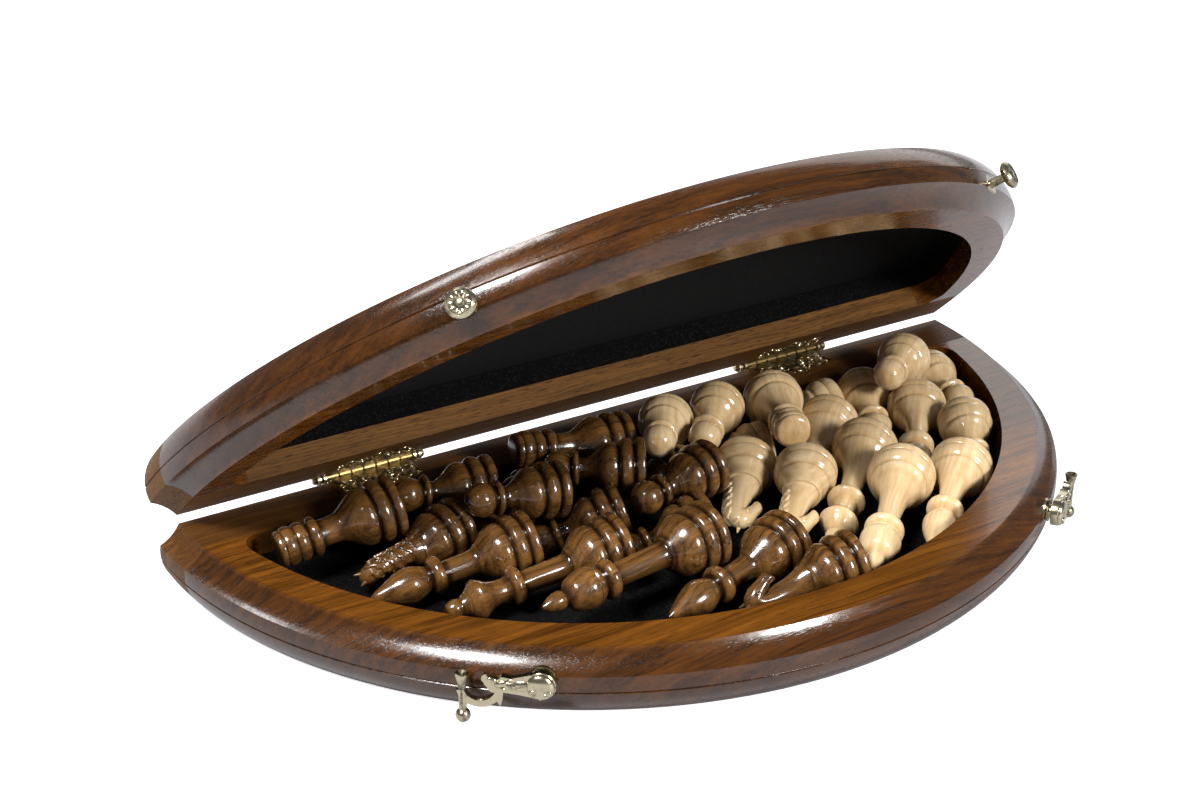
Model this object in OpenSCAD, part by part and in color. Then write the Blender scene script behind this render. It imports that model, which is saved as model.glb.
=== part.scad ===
// Round folding chess box: two hinged half-discs with moulded rims, a chessboard on their outer faces,
// velvet-lined wells inside, two ornamental hinges, two hook latches, and the men lying in the lower half.
// Millimetres. The origin is the centre of the lower half's underside, +X along the spine, -Y to the front.

/* [Box] */
// Radius of the half-disc at the sharp ridge of its moulding
disc_r = 225; // [225:1:260]
// Thickness of each half
half_h = 28; // [28:0.5:36]
// Angle that the lid stands open
lid_open = 41.67; // [30:0.01:120]
// Gap between the two rims when the box is shut
seat_gap = 0.3; // [0.2:0.05:0.6]

/* [Rim moulding] */
// Width from the ridge in to the flat top of the rim
cove_w = 9.5; // [7:0.5:11]
// Depth of the ridge below the rim's flat top
cove_h = 8.5; // [7:0.5:10]
// Hollow of the cove
cove_sag = 1.1; // [0.5:0.1:2]
// How far the board's edge lies inside the ridge
edge_in = 6; // [4:0.5:8]
// Bulge of the band below the ridge
band_sag = 2.6; // [1:0.1:4]
// Height of the fine groove above the board face
groove_z = 12; // [9:0.5:14]
// Width across the fine groove
groove_w = 0.8; // [0.5:0.1:1.5]
// Angle of the rim's two glue joints from the front middle of the box
seam_turn = 62.5; // [58:0.5:66]
// Slant of the glue joints
seam_angle = 14; // [5:1:25]

/* [Well] */
// Width of the rim from its ridge in to the well
rim_w = 23; // [21:0.5:25]
// How far behind the spine the centre of that wall lies
well_back = 5; // [4:0.5:7]
// Thickness of the spine rail
rail_t = 26.5; // [24:0.5:28]
// Radius of the well's two corners
corner_r = 10; // [6:0.5:14]

/* [Board] */
// Thickness of the plywood panel
panel_t = 4; // [3:0.25:5]
// Thickness of the inlaid veneer
veneer_t = 1; // [0.6:0.1:1.5]
// How far the panel laps past the well's front wall
panel_lap = 6; // [4:0.5:8]
// Strip of the spine rail left outside the panel
spine_strip = 6; // [4:0.5:8]
// Width of the border where the squares' corners come nearest to the panel's edge
border = 4.25; // [3:0.25:30]
// Distance from the spine to the first row of squares
first_row = 8; // [8:0.5:10]

/* [Velvet] */
// Thickness of the velvet floor
velvet_t = 1.5; // [1:0.1:2]
// Thickness of the velvet skirt turned up the wall
skirt_t = 0.8; // [0.6:0.1:1.2]
// Depth of the bare wood band above the skirt
bare_band = 11; // [9:0.5:14]

/* [Hinges] */
// Distance of the left hinge's middle from the spine's left tip
left_hinge_in = 105; // [90:1:115]
// Distance of the right hinge's middle from the spine's right tip
right_hinge_in = 109; // [90:1:115]
// Distance of the hinge pin behind the spine
hinge_back = 4.8; // [4:0.1:6]
// Length of the barrel
barrel_l = 44; // [38:1:50]
// Outside radius of the barrel
barrel_r = 2; // [1.8:0.1:2.3]
// Radius of the pin
pin_r = 1; // [0.8:0.05:1.2]
// Radial clearance of the pin in the lid's knuckles
pin_clear = 0.05; // [0.03:0.01:0.09]
// Gap between neighbouring knuckles
knuckle_gap = 0.2; // [0.1:0.05:0.4]
// Thickness of a leaf, let in flush with the rim
leaf_t = 1.2; // [1:0.1:1.6]
// Depth of the leaf's middle lobe from the spine
leaf_d = 17; // [15:0.5:20]
// Radius of the rings turned on the ends of the pin
finial_r = 3.2; // [2.6:0.1:3.6]

/* [Latches] */
// Angle of each latch from the front middle of the box
latch_angle = 36; // [25:1:50]
// Depth of the hook's pivot below the rim
pivot_drop = 9; // [8:0.5:11]
// Height of the catch stud above the lid's rim
stud_rise = 10; // [9:0.5:11]
// Depth of the flat seat cut into the moulding for each plate
seat_cut = 0.6; // [0.4:0.1:1]
// Radius of the hook's backing plate
plate_r = 5.6; // [5:0.1:6.5]
// Thickness of the hook's backing plate
plate_t = 2.4; // [2:0.1:3]
// Width of the gap between the plate and the hook
spacer_t = 1.4; // [1:0.1:2]
// Radius of the hook's domed eye
eye_r = 6.2; // [5.5:0.1:7]
// Thickness of the hook's eye
eye_t = 5; // [4:0.1:6]
// Thickness of the hook's arm
arm_t = 3.4; // [2.6:0.1:4]
// Radius of the hook's pivot pin
pivot_r = 1.5; // [1.2:0.1:2]
// Radial clearance of the pivot pin in the eye
pivot_clear = 0.06; // [0.03:0.01:0.09]
// Angle that the hook swings up to hold the stud
hook_swing = 73; // [68:1:76]
// Radius of the stud's washer
washer_r = 4.5; // [4:0.1:5.5]
// Thickness of the stud's washer
washer_t = 1; // [0.8:0.1:1.4]
// Radius of the stud's post
post_r = 2; // [1.6:0.1:2.4]
// Radius of the stud's head
head_r = 6.5; // [5.5:0.1:7.5]
// Thickness of the stud's head
head_t = 4.2; // [3.5:0.1:5]

/* [Chessmen] */
// Radius of a pawn's foot
pawn_r = 13.5; // [12:0.1:13.5]
// Radius of the foot of a rook, knight or bishop
piece_r = 15; // [13.5:0.1:15]
// Radius of the foot of a queen or king
royal_r = 16; // [14.5:0.1:16]
// Thickness of a knight's head
knight_t = 12; // [10:0.5:13]

/* [Hidden] */
$fn = 96;

rim_dark = [0.30, 0.15, 0.06];
rim_light = [0.42, 0.23, 0.10];
brass_pale = [0.80, 0.70, 0.45];
brass_dark = [0.36, 0.27, 0.13];
walnut = [0.36, 0.20, 0.09];
maple = [0.88, 0.74, 0.52];
velvet_black = [0.04, 0.04, 0.05];

far = 2 * disc_r;
cut = 1;
spine_y = disc_r / 2;
axis_z = half_h + seat_gap / 2;
floor_z = veneer_t + panel_t;
velvet_z = floor_z + velvet_t;
skirt_z = half_h - bare_band;
ridge_z = half_h - cove_h;
edge_r = disc_r - edge_in;
flat_r = disc_r - cove_w;
well_r = disc_r - rim_w;
panel_r = well_r + panel_lap;
seam_x = well_r * sin(seam_turn);
seam_y = well_r * cos(seam_turn);
left_hinge_x = disc_r - left_hinge_in;
right_hinge_x = disc_r - right_hinge_in;

// Side of a square: eight by four of them reach out to field_r at the field's two front corners
field_r = panel_r - border;
square_side = (sqrt(2 * field_r * field_r - first_row * first_row) - first_row) / 8;

// ---------- arcs of the moulding ----------

function unit(v) = v / norm(v);
function outward(a, b) = let (d = unit(b - a)) [d[1], -d[0]];
function arc_r(a, b, sag) = (norm(b - a) * norm(b - a) / 4 + sag * sag) / (2 * sag);
function bulge_centre(a, b, sag) = (a + b) / 2 + outward(a, b) * (sag - arc_r(a, b, sag));
function hollow_centre(a, b, sag) = (a + b) / 2 + outward(a, b) * (arc_r(a, b, sag) - sag);

edge_pt = [edge_r, 0];
ridge_pt = [disc_r, ridge_z];
flat_pt = [flat_r, half_h];
band_r = arc_r(edge_pt, ridge_pt, band_sag);
band_c = bulge_centre(edge_pt, ridge_pt, band_sag);
groove_r = band_c[0] + sqrt(band_r * band_r - pow(groove_z - band_c[1], 2));

// Section of a half from its middle out to the moulding, board face at 0, rim's flat top at half_h
module rim_section() {
    difference() {
        union() {
            polygon([[0, 0], edge_pt, ridge_pt, flat_pt, [0, half_h]]);
            intersection() {
                translate(band_c) circle(r = band_r);
                polygon([edge_pt, edge_pt + outward(edge_pt, ridge_pt) * 2 * band_sag,
                         ridge_pt + outward(edge_pt, ridge_pt) * 2 * band_sag, ridge_pt]);
            }
        }
        translate(hollow_centre(ridge_pt, flat_pt, cove_sag))
            circle(r = arc_r(ridge_pt, flat_pt, cove_sag));
        translate([groove_r, groove_z]) rotate(45) square(groove_w, center = true);
    }
}

// A half's solid outline, spine on y = 0
module half_blank() {
    intersection() {
        rotate_extrude() rim_section();
        translate([-far, -far, -cut]) cube([2 * far, far, half_h + 2 * cut]);
    }
}

// Plan of the well, drawn in by inset
module well_plan(inset = 0) {
    r = well_r - inset;
    c = corner_r - inset;
    reach = well_r - corner_r;
    k = [sqrt(reach * reach - pow(rail_t + corner_r + well_back, 2)), -rail_t - corner_r];
    t = k + c * unit(k - [0, well_back]);
    intersection() {
        translate([0, well_back]) circle(r = r);
        polygon([[-k[0], -rail_t - inset], [k[0], -rail_t - inset], t,
                 [far, -far], [-far, -far], [-t[0], t[1]]]);
    }
    for (side = [-1, 1]) translate([side * k[0], k[1]]) circle(r = c);
}

// Plan of the board panel
module panel_plan() {
    intersection() {
        circle(r = panel_r);
        translate([-far, -far - spine_strip]) square([2 * far, far]);
    }
}

module slab(z0, z1) {
    translate([0, 0, z0]) linear_extrude(z1 - z0) children();
}

// ---------- places ----------

module base_place() {
    translate([0, spine_y, 0]) children();
}

module swing_lid(angle) {
    translate([0, spine_y + hinge_back, axis_z]) rotate([-angle, 0, 0])
        translate([0, -spine_y - hinge_back, -axis_z]) children();
}

module shut_lid_place() {
    translate([0, spine_y, 2 * axis_z]) mirror([0, 0, 1]) children();
}

module lid_place() {
    swing_lid(lid_open) shut_lid_place() children();
}

// Turns a latch piece's own frame, out along +X and up along +Z, to its place on the moulding
module latch_place(side) {
    rotate([0, 0, side * latch_angle - 90]) children();
}

// ---------- the wooden halves ----------

module leaf_pockets(grow = 0) {
    for (x = [-left_hinge_x, right_hinge_x])
        translate([x, 0, 0]) slab(half_h - leaf_t, half_h + grow) leaf_plan();
}

module latch_seat(z, r) {
    for (side = [-1, 1]) latch_place(side)
        translate([disc_r - seat_cut, 0, z]) rotate([0, 90, 0]) cylinder(r = r, h = far);
}

module screw_row() {
    for (x = [-left_hinge_x, right_hinge_x], k = [-1, 0, 1])
        translate([x + k * screw_step, k == 0 ? -screw_mid_y : -screw_end_y, 0]) children();
}

// Plan of the middle segment of the rim, ahead of the two slanting glue joints
module rim_front_plan() {
    slope = tan(seam_angle);
    polygon([[-far, -seam_y + slope * (far - seam_x)], [0, -seam_y - slope * seam_x],
             [far, -seam_y + slope * (far - seam_x)], [far, -far], [-far, -far]]);
}

// The whole moulded rim ahead of the spine rail, bored for the two latches at height z_bore
module rim_ring(z_bore, seat_r) {
    difference() {
        half_blank();
        slab(-cut, half_h + cut) well_plan();
        slab(-cut, floor_z) panel_plan();
        translate([-far, -rail_t, -cut]) cube([2 * far, far, half_h + 2 * cut]);
        latch_seat(z_bore, seat_r);
        for (side = [-1, 1]) latch_place(side) translate([disc_r - anchor_l, 0, z_bore])
            rotate([0, 90, 0]) cylinder(r = anchor_r, h = anchor_l);
    }
}

module rim_front(z_bore, seat_r) {
    intersection() {
        rim_ring(z_bore, seat_r);
        slab(-cut, half_h + cut) rim_front_plan();
    }
}

// End segment of the rim on one side
module rim_end(side) {
    difference() {
        intersection() {
            half_blank();
            translate([side < 0 ? -far : 0, -far, -cut]) cube([far, far - rail_t, half_h + 2 * cut]);
        }
        slab(-cut, half_h + cut) well_plan();
        slab(-cut, floor_z) panel_plan();
        slab(-cut, half_h + cut) rim_front_plan();
    }
}

module spine_rail() {
    difference() {
        intersection() {
            half_blank();
            translate([-far, -rail_t, -cut]) cube([2 * far, far, half_h + 2 * cut]);
        }
        slab(-cut, floor_z) panel_plan();
        leaf_pockets(cut);
        screw_row() translate([0, 0, half_h - leaf_t - screw_l])
            cylinder(r = screw_r, h = screw_l);
    }
}

module panel() {
    slab(veneer_t, floor_z) panel_plan();
}

module field_plan() {
    translate([-4 * square_side, -first_row - 4 * square_side]) square([8 * square_side, 4 * square_side]);
}

module board_border() {
    slab(0, veneer_t) difference() {
        panel_plan();
        field_plan();
    }
}

module squares(parity) {
    for (col = [0:7], row = [0:3])
        if ((col + row) % 2 == parity)
            translate([(col - 4) * square_side, -first_row - (row + 1) * square_side, 0])
                cube([square_side, square_side, veneer_t]);
}

module velvet() {
    difference() {
        slab(floor_z, skirt_z) well_plan();
        slab(velvet_z, skirt_z + cut) well_plan(skirt_t);
    }
}

module base_rim_left() { color(rim_dark) base_place() rim_end(-1); }
module base_rim_front() { color(rim_dark) base_place() rim_front(half_h - pivot_drop, plate_r); }
module base_rim_right() { color(rim_dark) base_place() rim_end(1); }
module base_spine_rail() { color(rim_light) base_place() spine_rail(); }
module base_panel() { color(rim_dark) base_place() panel(); }
module base_board_border() { color(walnut) base_place() board_border(); }
module base_light_squares() { color(maple) base_place() squares(0); }
module base_dark_squares() { color(walnut) base_place() squares(1); }
module base_velvet() { color(velvet_black) base_place() velvet(); }

module lid_rim_left() { color(rim_dark) lid_place() rim_end(-1); }
module lid_rim_front() { color(rim_dark) lid_place() rim_front(half_h - stud_rise, washer_r); }
module lid_rim_right() { color(rim_dark) lid_place() rim_end(1); }
module lid_spine_rail() { color(rim_light) lid_place() spine_rail(); }
module lid_panel() { color(rim_dark) lid_place() panel(); }
module lid_board_border() { color(walnut) lid_place() board_border(); }
module lid_light_squares() { color(maple) lid_place() squares(1); }
module lid_dark_squares() { color(walnut) lid_place() squares(0); }
module lid_velvet() { color(velvet_black) lid_place() velvet(); }

// ---------- hinges ----------

knuckles = 7;
knuckle_l = barrel_l / knuckles;
leaf_w = barrel_l - 2;
lobe_r = leaf_d / 2;
side_lobe_r = 6;
side_lobe_x = leaf_w / 2 - side_lobe_r - 1.5;
tip_y = leaf_d - 3;
screw_r = 0.9;
screw_head_r = 1.7;
screw_l = 9;
screw_step = side_lobe_x;
screw_mid_y = leaf_d - 5;
screw_end_y = leaf_d - 7;

// Scalloped outline of a leaf, spine on y = 0
module leaf_plan() {
    half_w = leaf_w / 2;
    polygon([[-half_w, 0], [half_w, 0], [half_w - 2, -tip_y / 2], [half_w, -tip_y],
             [half_w - 4, -tip_y + 3], [-half_w + 4, -tip_y + 3],
             [-half_w, -tip_y], [-half_w + 2, -tip_y / 2]]);
    translate([0, -leaf_d + lobe_r]) circle(r = lobe_r);
    for (side = [-1, 1])
        translate([side * side_lobe_x, -leaf_d + side_lobe_r + 2]) circle(r = side_lobe_r);
}

// Leaf of one half in that half's frame; parity picks its knuckles, bore is their inner radius
module leaf(parity, bore) {
    web_y = hinge_back - barrel_r - 2 * knuckle_gap;
    difference() {
        union() {
            slab(half_h - leaf_t, half_h) leaf_plan();
            translate([-leaf_w / 2, 0, half_h - leaf_t]) cube([leaf_w, web_y, leaf_t]);
            for (k = [parity:2:knuckles - 1]) translate([k * knuckle_l - barrel_l / 2 + knuckle_gap / 2, 0, 0]) {
                translate([0, hinge_back, axis_z]) rotate([0, 90, 0])
                    cylinder(r = barrel_r, h = knuckle_l - knuckle_gap);
                translate([0, 0, half_h - leaf_t])
                    cube([knuckle_l - knuckle_gap, hinge_back, leaf_t]);
            }
        }
        translate([-barrel_l, hinge_back, axis_z]) rotate([0, 90, 0])
            cylinder(r = bore, h = 2 * barrel_l);
        for (k = [-1, 0, 1])
            translate([k * screw_step, k == 0 ? -screw_mid_y : -screw_end_y, half_h - leaf_t]) {
                translate([0, 0, -cut]) cylinder(r = screw_r, h = leaf_t + 2 * cut);
                cylinder(r1 = screw_r, r2 = screw_head_r, h = leaf_t);
            }
    }
}

module base_leaf_at(x) { color(brass_dark) base_place() translate([x, 0, 0]) leaf(0, pin_r); }
module lid_leaf_at(x) { color(brass_dark) lid_place() translate([x, 0, 0]) leaf(1, pin_r + pin_clear); }

// Section of the pin's turned end, outward from the barrel along +Y of the section
module finial_section() {
    polygon([[0, 0], [finial_r * 0.72, 0], [finial_r, 0.5], [finial_r, 1.7], [finial_r * 0.6, 2],
             [finial_r * 0.6, 2.8], [finial_r * 0.9, 3.2], [finial_r * 0.9, 4.4], [finial_r * 0.5, 4.8],
             [finial_r * 0.66, 5.6], [finial_r * 0.4, 6.6], [0, 6.9]]);
}

module hinge_pin_at(x) {
    color(brass_dark) translate([x, spine_y + hinge_back, axis_z]) rotate([0, 90, 0]) {
        cylinder(r = pin_r, h = barrel_l, center = true);
        for (side = [0, 1]) mirror([0, 0, side]) translate([0, 0, barrel_l / 2])
            rotate_extrude() finial_section();
    }
}

module hinge_screws() {
    screw_row() translate([0, 0, half_h - leaf_t]) {
        translate([0, 0, -screw_l]) cylinder(r = screw_r, h = screw_l);
        cylinder(r1 = screw_r, r2 = screw_head_r, h = leaf_t);
    }
}

module left_hinge_base_leaf() { base_leaf_at(-left_hinge_x); }
module left_hinge_lid_leaf() { lid_leaf_at(-left_hinge_x); }
module left_hinge_pin() { hinge_pin_at(-left_hinge_x); }
module right_hinge_base_leaf() { base_leaf_at(right_hinge_x); }
module right_hinge_lid_leaf() { lid_leaf_at(right_hinge_x); }
module right_hinge_pin() { hinge_pin_at(right_hinge_x); }
module base_hinge_screws() { color(brass_dark) base_place() hinge_screws(); }
module lid_hinge_screws() { color(brass_dark) lid_place() hinge_screws(); }

// ---------- latches ----------

anchor_r = 1.5;
anchor_l = 14;
seat_x = disc_r - seat_cut;
hook_x = seat_x + plate_t + spacer_t;
hook_reach = pivot_drop + seat_gap + stud_rise;
throat = hook_reach * [sin(hook_swing), cos(hook_swing)];
bore_d = eye_t - 1;
pivot_z = half_h - pivot_drop;
ball_r = 3.1;
thumb_x = 31.8;
ball_z = -(pivot_z - ball_r - 0.3);

// Places a hook piece: +X out from the disc, the pivot at the origin
module hook_place(side) {
    base_place() latch_place(side) translate([0, 0, pivot_z]) children();
}

module hook_plate(side) {
    color(brass_pale) hook_place(side) translate([seat_x, 0, 0]) rotate([0, 90, 0]) difference() {
        union() {
            cylinder(r = plate_r, h = 1);
            translate([0, 0, 1]) cylinder(r1 = plate_r - 1.4, r2 = plate_r - 0.5, h = plate_t - 1);
        }
        translate([0, 0, -cut]) cylinder(r = anchor_r, h = plate_t + 2 * cut);
    }
}

module hook_pivot(side) {
    color(brass_dark) hook_place(side) rotate([0, 90, 0]) {
        translate([0, 0, disc_r - anchor_l]) cylinder(r = anchor_r, h = anchor_l - seat_cut + plate_t);
        translate([0, 0, seat_x + plate_t]) cylinder(r = plate_r - 2.4, h = spacer_t - 0.2);
        translate([0, 0, seat_x + plate_t]) cylinder(r = pivot_r, h = spacer_t + bore_d - 0.3);
    }
}

// Arm of the hook seen from outside: along +X from the eye, +Y up
module arm_plan() {
    throat_r = post_r + 1.3;
    difference() {
        union() {
            polygon([[0, 5.4], [4, 5.2], [8.7, 4], [12, 3.2], [21.5, 5], [23, 3], [22.6, 0], [20, -2.6],
                     [16, -3.2], [9, -4.2], [3, -5.4], [0, -5.6]]);
            translate([21.5, 2.8]) circle(r = 2.2);
            translate([18.6, -0.6]) circle(r = 3);
        }
        translate(throat) circle(r = throat_r);
        translate([throat[0] - throat_r, throat[1]]) square([2 * throat_r, 2 * throat_r]);
    }
}

// Lower cradle that carries the thumb post, and the small leaf tip under the arm
module cradle_plan() {
    cradle_x = 24.6;
    cradle_z = -1.2;
    difference() {
        translate([cradle_x, cradle_z]) circle(r = 9.5);
        translate([cradle_x, cradle_z]) circle(r = 6.6);
        translate([cradle_x - 10, cradle_z - 2]) square([20, 14]);
    }
    polygon([[15, -2.4], [18.4, -3.6], [18.6, -6.4], [16.4, -10], [15.4, -6.6]]);
}

module thumb_section() {
    polygon([[0, ball_z], [1.6, ball_z], [1.6, -3], [2, 0], [2.9, 4], [2.2, 4.3], [0, 3]]);
}

module hook(side) {
    color(brass_pale) hook_place(side) mirror([0, side < 0 ? 1 : 0, 0]) {
        difference() {
            union() {
                translate([hook_x, 0, 0]) rotate([0, 90, 0]) {
                    cylinder(r = eye_r, h = eye_t - 2);
                    translate([0, 0, eye_t - 2]) cylinder(r1 = eye_r, r2 = eye_r - 2.6, h = 2);
                }
                translate([hook_x, 0, 0]) rotate([90, 0, 90]) linear_extrude(arm_t) arm_plan();
            }
            translate([hook_x - cut, 0, 0]) rotate([0, 90, 0])
                cylinder(r = pivot_r + pivot_clear, h = bore_d + cut);
        }
        translate([hook_x + 0.2, 0, 0]) rotate([90, 0, 90]) linear_extrude(arm_t - 0.4) cradle_plan();
        translate([hook_x + arm_t / 2, thumb_x, 0]) {
            rotate_extrude() thumb_section();
            translate([0, 0, ball_z]) sphere(r = ball_r);
        }
    }
}

// Places a stud piece on the lid
module stud_place(side) {
    lid_place() latch_place(side) translate([seat_x, 0, half_h - stud_rise]) rotate([0, 90, 0]) children();
}

stud_back = spacer_t + plate_t + arm_t + 0.6;

module stud_washer(side) {
    color(brass_dark) stud_place(side) difference() {
        cylinder(r = washer_r, h = washer_t);
        translate([0, 0, -cut]) cylinder(r = anchor_r, h = washer_t + 2 * cut);
    }
}

module stud(side) {
    color(brass_pale) stud_place(side) {
        translate([0, 0, seat_cut - anchor_l]) cylinder(r = anchor_r, h = anchor_l - seat_cut + washer_t);
        translate([0, 0, washer_t]) cylinder(r = post_r, h = stud_back - washer_t);
        translate([0, 0, stud_back]) rotate_extrude() polygon([
            [0, 0], [head_r - 2, 0], [head_r - 0.4, 1.2], [head_r, 2.2], [head_r - 0.4, 3.2],
            [head_r - 1.4, head_t], [head_r - 2.4, head_t - 0.5],
            [2.4, head_t - 0.5], [1.4, head_t], [0, head_t]]);
    }
}

module left_hook_plate() { hook_plate(-1); }
module left_hook_pivot() { hook_pivot(-1); }
module left_hook() { hook(-1); }
module right_hook_plate() { hook_plate(1); }
module right_hook_pivot() { hook_pivot(1); }
module right_hook() { hook(1); }
module left_stud_washer() { stud_washer(-1); }
module left_stud() { stud(-1); }
module right_stud_washer() { stud_washer(1); }
module right_stud() { stud(1); }

// ---------- chessmen ----------

// The men are laid out for a well of this radius: a wider one spreads them, a narrower one shrinks them too
laid_r = 202;
spread = well_r / laid_r;
man_size = min(1, spread);

// Height and girth of the block that a knight's head is carved from
collar_z = 20;
neck_r = 9.4;
knight_h = 40;

// Turned foot of radius r: [radius, height] pairs from the flat end up to the bell
function foot(r) = [
    [0, 0], [r - 1.2, 0], [r - 0.3, 1], [r, 3], [r - 0.5, 5], [r - 1.6, 5.8], [r - 0.6, 6.6], [r - 0.1, 9],
    [r - 0.7, 12], [r - 2.2, 14], [r - 3.6, 14.8], [r - 2.8, 16], [r - 3.4, 18]
];

function man_outline(kind) =
    kind == "pawn" ? concat(foot(pawn_r), [
        [8, 20], [5.4, 23], [4.6, 27], [4.8, 30], [7.8, 31], [7.8, 33], [5.2, 34],
        [6.6, 36], [8, 40], [6.6, 44], [4, 46.5], [0, 48]])
    : kind == "rook" ? concat(foot(piece_r), [
        [9.5, 21], [7.2, 26], [6.3, 34], [6.6, 38], [9, 39], [9, 41.5], [6.5, 43],
        [8.3, 45], [9, 51], [8.3, 57], [7.5, 58], [0, 58]])
    : kind == "bishop" ? concat(foot(piece_r), [
        [9.5, 21], [6.4, 27], [5.2, 36], [5, 43], [8.6, 45], [8.6, 48], [5, 50],
        [6.4, 52], [8, 58], [7.8, 61], [6, 66], [3.4, 72], [1.5, 77], [0, 78]])
    : kind == "queen" ? concat(foot(royal_r), [
        [10, 21], [6.8, 28], [5.3, 40], [5, 50], [8.8, 52], [8.8, 55], [5.6, 57], [5.2, 61],
        [6, 65], [9, 70], [9, 73], [5, 77], [3.4, 80], [4, 83], [1, 87], [0, 87.5]])
    : kind == "king" ? concat(foot(royal_r), [
        [10, 21], [6.8, 29], [5.4, 42], [5.2, 54], [9, 56], [9, 59], [6, 61], [7.6, 63],
        [9.2, 66], [9.2, 72], [7, 77], [3, 79], [4.2, 83], [2.2, 89], [0, 92]])
    : concat(foot(piece_r), [[9, collar_z], [8.5, collar_z + 4], [0, collar_z + 4]]);

// Side view of a knight's head and neck, mane on the left, height up
module knight_plan() {
    polygon([[-7, collar_z], [-9, 28], [-8.6, 40], [-5, 50], [-1.5, 57.5], [0.5, 53], [4, 50], [9, 43],
             [9, 38.5], [5.5, 37.5], [2.5, 39], [3, 34], [7.5, 27], [7.5, collar_z]] * man_size);
}

module man(kind) {
    rotate_extrude() polygon(man_outline(kind) * man_size);
    if (kind == "knight") intersection() {
        translate([0, knight_t * man_size / 2, 0]) rotate([90, 0, 0]) linear_extrude(knight_t * man_size)
            knight_plan();
        translate([0, 0, collar_z * man_size]) cylinder(r = neck_r * man_size, h = knight_h * man_size);
    }
}

function foot_r(kind) = kind == "pawn" ? pawn_r : kind == "queen" || kind == "king" ? royal_r : piece_r;

// One row per man: kind, middle of the foot's end from the spine's middle, rise of that foot above the
// velvet, heading of the head, dip of the head, and roll about its own length
DARK_MEN = [
    ["rook", -129, -44, 11.5, 177, 8, 0],
    ["knight", -105, -60, 1, 189, 7, -35],
    ["bishop", -85, -88, 1, 177, 6, 0],
    ["queen", -54, -114, 1, 179, 5, 0],
    ["king", -21, -135, 7, 187, 2, 0],
    ["bishop", 13, -147, 1, 194, 5, 0],
    ["rook", -9, -44, 11, 174, -8, 0],
    ["pawn", -81, -44, 10.5, 173, -4, 0],
    ["pawn", -60, -72, 14.5, 177, -6, 0],
    ["pawn", -17, -75, 15.5, 152, 0, 0],
    ["pawn", -38, -90, 6.5, 165, 17, 0],
    ["pawn", 11, -88, 14, 190, 4, 0],
    ["pawn", -6, -113, 4, 171, 14, 0],
    ["pawn", -60, -46, 1.1, 208, 8, 0],
    ["pawn", 14, -65, 1.2, 180, 9, 0]
];
FRONT_KNIGHT = [["knight", 26, -179, 2, 174, 9, -160]];
LIGHT_MEN = [
    ["pawn", 20, -36, 14.6, -128, -10, 0],
    ["pawn", 50, -37, 15.5, -134, -1, 0],
    ["rook", 78, -40, 11.5, -114, -8, 0],
    ["knight", 42, -72, 1, -128, 7, 95],
    ["rook", 104, -57, 1, -140, 7, 0],
    ["pawn", 136, -37, 3, -115, 6, 0],
    ["pawn", 163, -41, 14.5, -142, -10, 0],
    ["pawn", 180, -35, 0, -103, -2, 0],
    ["bishop", 151, -65, 0.5, -129, 3, 0],
    ["pawn", 156, -94, 5, -120, 8, 0],
    ["queen", 100, -91, 1.5, -138, 6, 0],
    ["knight", 58, -99, 5, -132, 8, 95],
    ["king", 94, -126, 3.5, -137, 2, 0],
    ["bishop", 127, -130, 2, -140, 5, 0],
    ["pawn", 119, -43, 1.5, 170, 10, 0],
    ["pawn", 61, -65, 1, 165, 7, 0]
];

module men(set, kind) {
    for (m = set) if (m[0] == kind)
        translate([m[1] * spread, spine_y + m[2] * spread, velvet_z + (foot_r(kind) + m[3]) * man_size])
            rotate([0, 90 + m[5], m[4]]) rotate([0, 0, m[6]]) man(kind);
}

module dark_pawns() { color(walnut) men(DARK_MEN, "pawn"); }
module dark_rooks() { color(walnut) men(DARK_MEN, "rook"); }
module dark_rear_knight() { color(walnut) men(DARK_MEN, "knight"); }
module dark_front_knight() { color(walnut) men(FRONT_KNIGHT, "knight"); }
module dark_bishops() { color(walnut) men(DARK_MEN, "bishop"); }
module dark_queen() { color(walnut) men(DARK_MEN, "queen"); }
module dark_king() { color(walnut) men(DARK_MEN, "king"); }
module light_pawns() { color(maple) men(LIGHT_MEN, "pawn"); }
module light_rooks() { color(maple) men(LIGHT_MEN, "rook"); }
module light_knights() { color(maple) men(LIGHT_MEN, "knight"); }
module light_bishops() { color(maple) men(LIGHT_MEN, "bishop"); }
module light_queen() { color(maple) men(LIGHT_MEN, "queen"); }
module light_king() { color(maple) men(LIGHT_MEN, "king"); }

base_rim_left();
base_rim_front();
base_rim_right();
base_spine_rail();
base_panel();
base_board_border();
base_light_squares();
base_dark_squares();
base_velvet();
lid_rim_left();
lid_rim_front();
lid_rim_right();
lid_spine_rail();
lid_panel();
lid_board_border();
lid_light_squares();
lid_dark_squares();
lid_velvet();
left_hinge_base_leaf();
left_hinge_lid_leaf();
left_hinge_pin();
right_hinge_base_leaf();
right_hinge_lid_leaf();
right_hinge_pin();
base_hinge_screws();
lid_hinge_screws();
left_hook_plate();
left_hook_pivot();
left_hook();
right_hook_plate();
right_hook_pivot();
right_hook();
left_stud_washer();
left_stud();
right_stud_washer();
right_stud();
dark_pawns();
dark_rooks();
dark_rear_knight();
dark_front_knight();
dark_bishops();
dark_queen();
dark_king();
light_pawns();
light_rooks();
light_knights();
light_bishops();
light_queen();
light_king();
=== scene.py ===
# %% [markdown]
# # A round folding chess box
# The box is two wooden half-discs with a hinge between them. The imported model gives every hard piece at
# its true place, so this lesson only adds what a drawing of solids can't: the turned and carved men, the
# ornament of the brass, the velvet, and the stain, grain and lacquer of the wood.

# %% Load the frame
import math

import bpy
from mathutils import Matrix, Vector


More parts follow.
